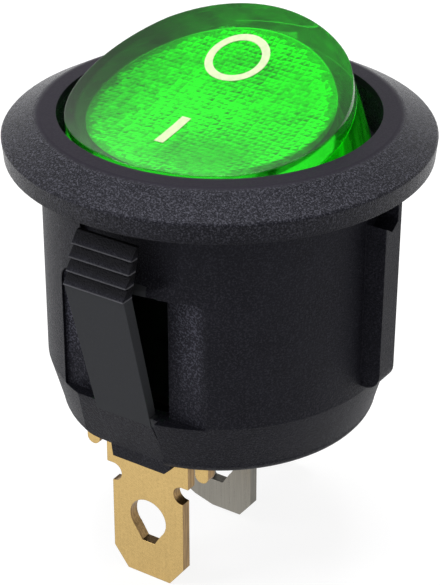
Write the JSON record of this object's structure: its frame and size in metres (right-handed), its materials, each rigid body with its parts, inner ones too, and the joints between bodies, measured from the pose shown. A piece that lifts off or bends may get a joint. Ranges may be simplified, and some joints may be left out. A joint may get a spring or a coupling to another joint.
{
  "type": "panel rocker switch",
  "caption": "Round snap-in panel rocker switch with a lit green rocker, black flanged barrel, latch arms and push-on tabs.",
  "frame": {"origin": "centre of the panel cut-out, on the panel's front face (the flange's underside)", "axes": "+Z out of the panel towards the user, +Y from the rocker's I end to its O end, +X to the right along the rocker's pivot"},
  "size_m": [0.0236, 0.0236, 0.0304],
  "materials": {
    "black_nylon": "fine texture, satin flange",
    "green_lens": "clear tinted, polished, with a prismatic inner face",
    "green_diffuser": "frosted",
    "cream_ink": "printed",
    "white_plastic": "matt",
    "lamp_glass": "clear",
    "nickel": "brushed nickel plate",
    "tinned_wire": "bright",
    "resistor_body": "lacquered",
    "brass": "finely brushed",
    "spring_steel": "bright",
    "copper_strip": "bright copper",
    "silver": "bright silver"
  },
  "bodies": {
    "base": {"housing": "black_nylon", "supply_terminal": "nickel", "supply_contact": "silver", "common_terminal": "nickel", "lamp_terminal": "brass", "lamp_spring": "spring_steel"},
    "rocker": {"lens": "green_lens", "diffuser": "green_diffuser", "mark_on": "cream_ink", "mark_off": "cream_ink", "lamp_tray": "white_plastic", "lamp_envelope": "lamp_glass", "lamp_electrodes": "nickel", "lamp_leads": "tinned_wire", "resistor": "resistor_body", "resistor_leads": "tinned_wire", "plunger_spring": "spring_steel"},
    "plunger": {"plunger": "brass"},
    "bridge": {"contact_bridge": "copper_strip", "bridge_contact": "silver"}
  },
  "joints": [
    {"name": "rocker_tilt", "type": "hinge", "parent": "base", "child": "rocker", "pos_m": [0, 0, -0.00077], "axis": [1, 0, 0], "range_deg": [-30.4, 0], "deforming": ["lamp_spring"]},
    {"name": "bridge_tilt", "type": "hinge", "parent": "base", "child": "bridge", "pos_m": [0, 0, -0.0073], "axis": [1, 0, 0], "range_deg": [0, 10.14]},
    {"name": "plunger_slide", "type": "slide", "parent": "rocker", "child": "plunger", "axis": [0, -0.2622, 0.965], "range_m": [0, 0.0004], "stiffness_N_per_m": 600, "springref_m": -0.001, "deforming": ["plunger_spring"]}
  ],
  "couplings": [
    {"joint": "bridge_tilt", "follows": "rocker_tilt", "ratio": -0.3333}
  ]
}
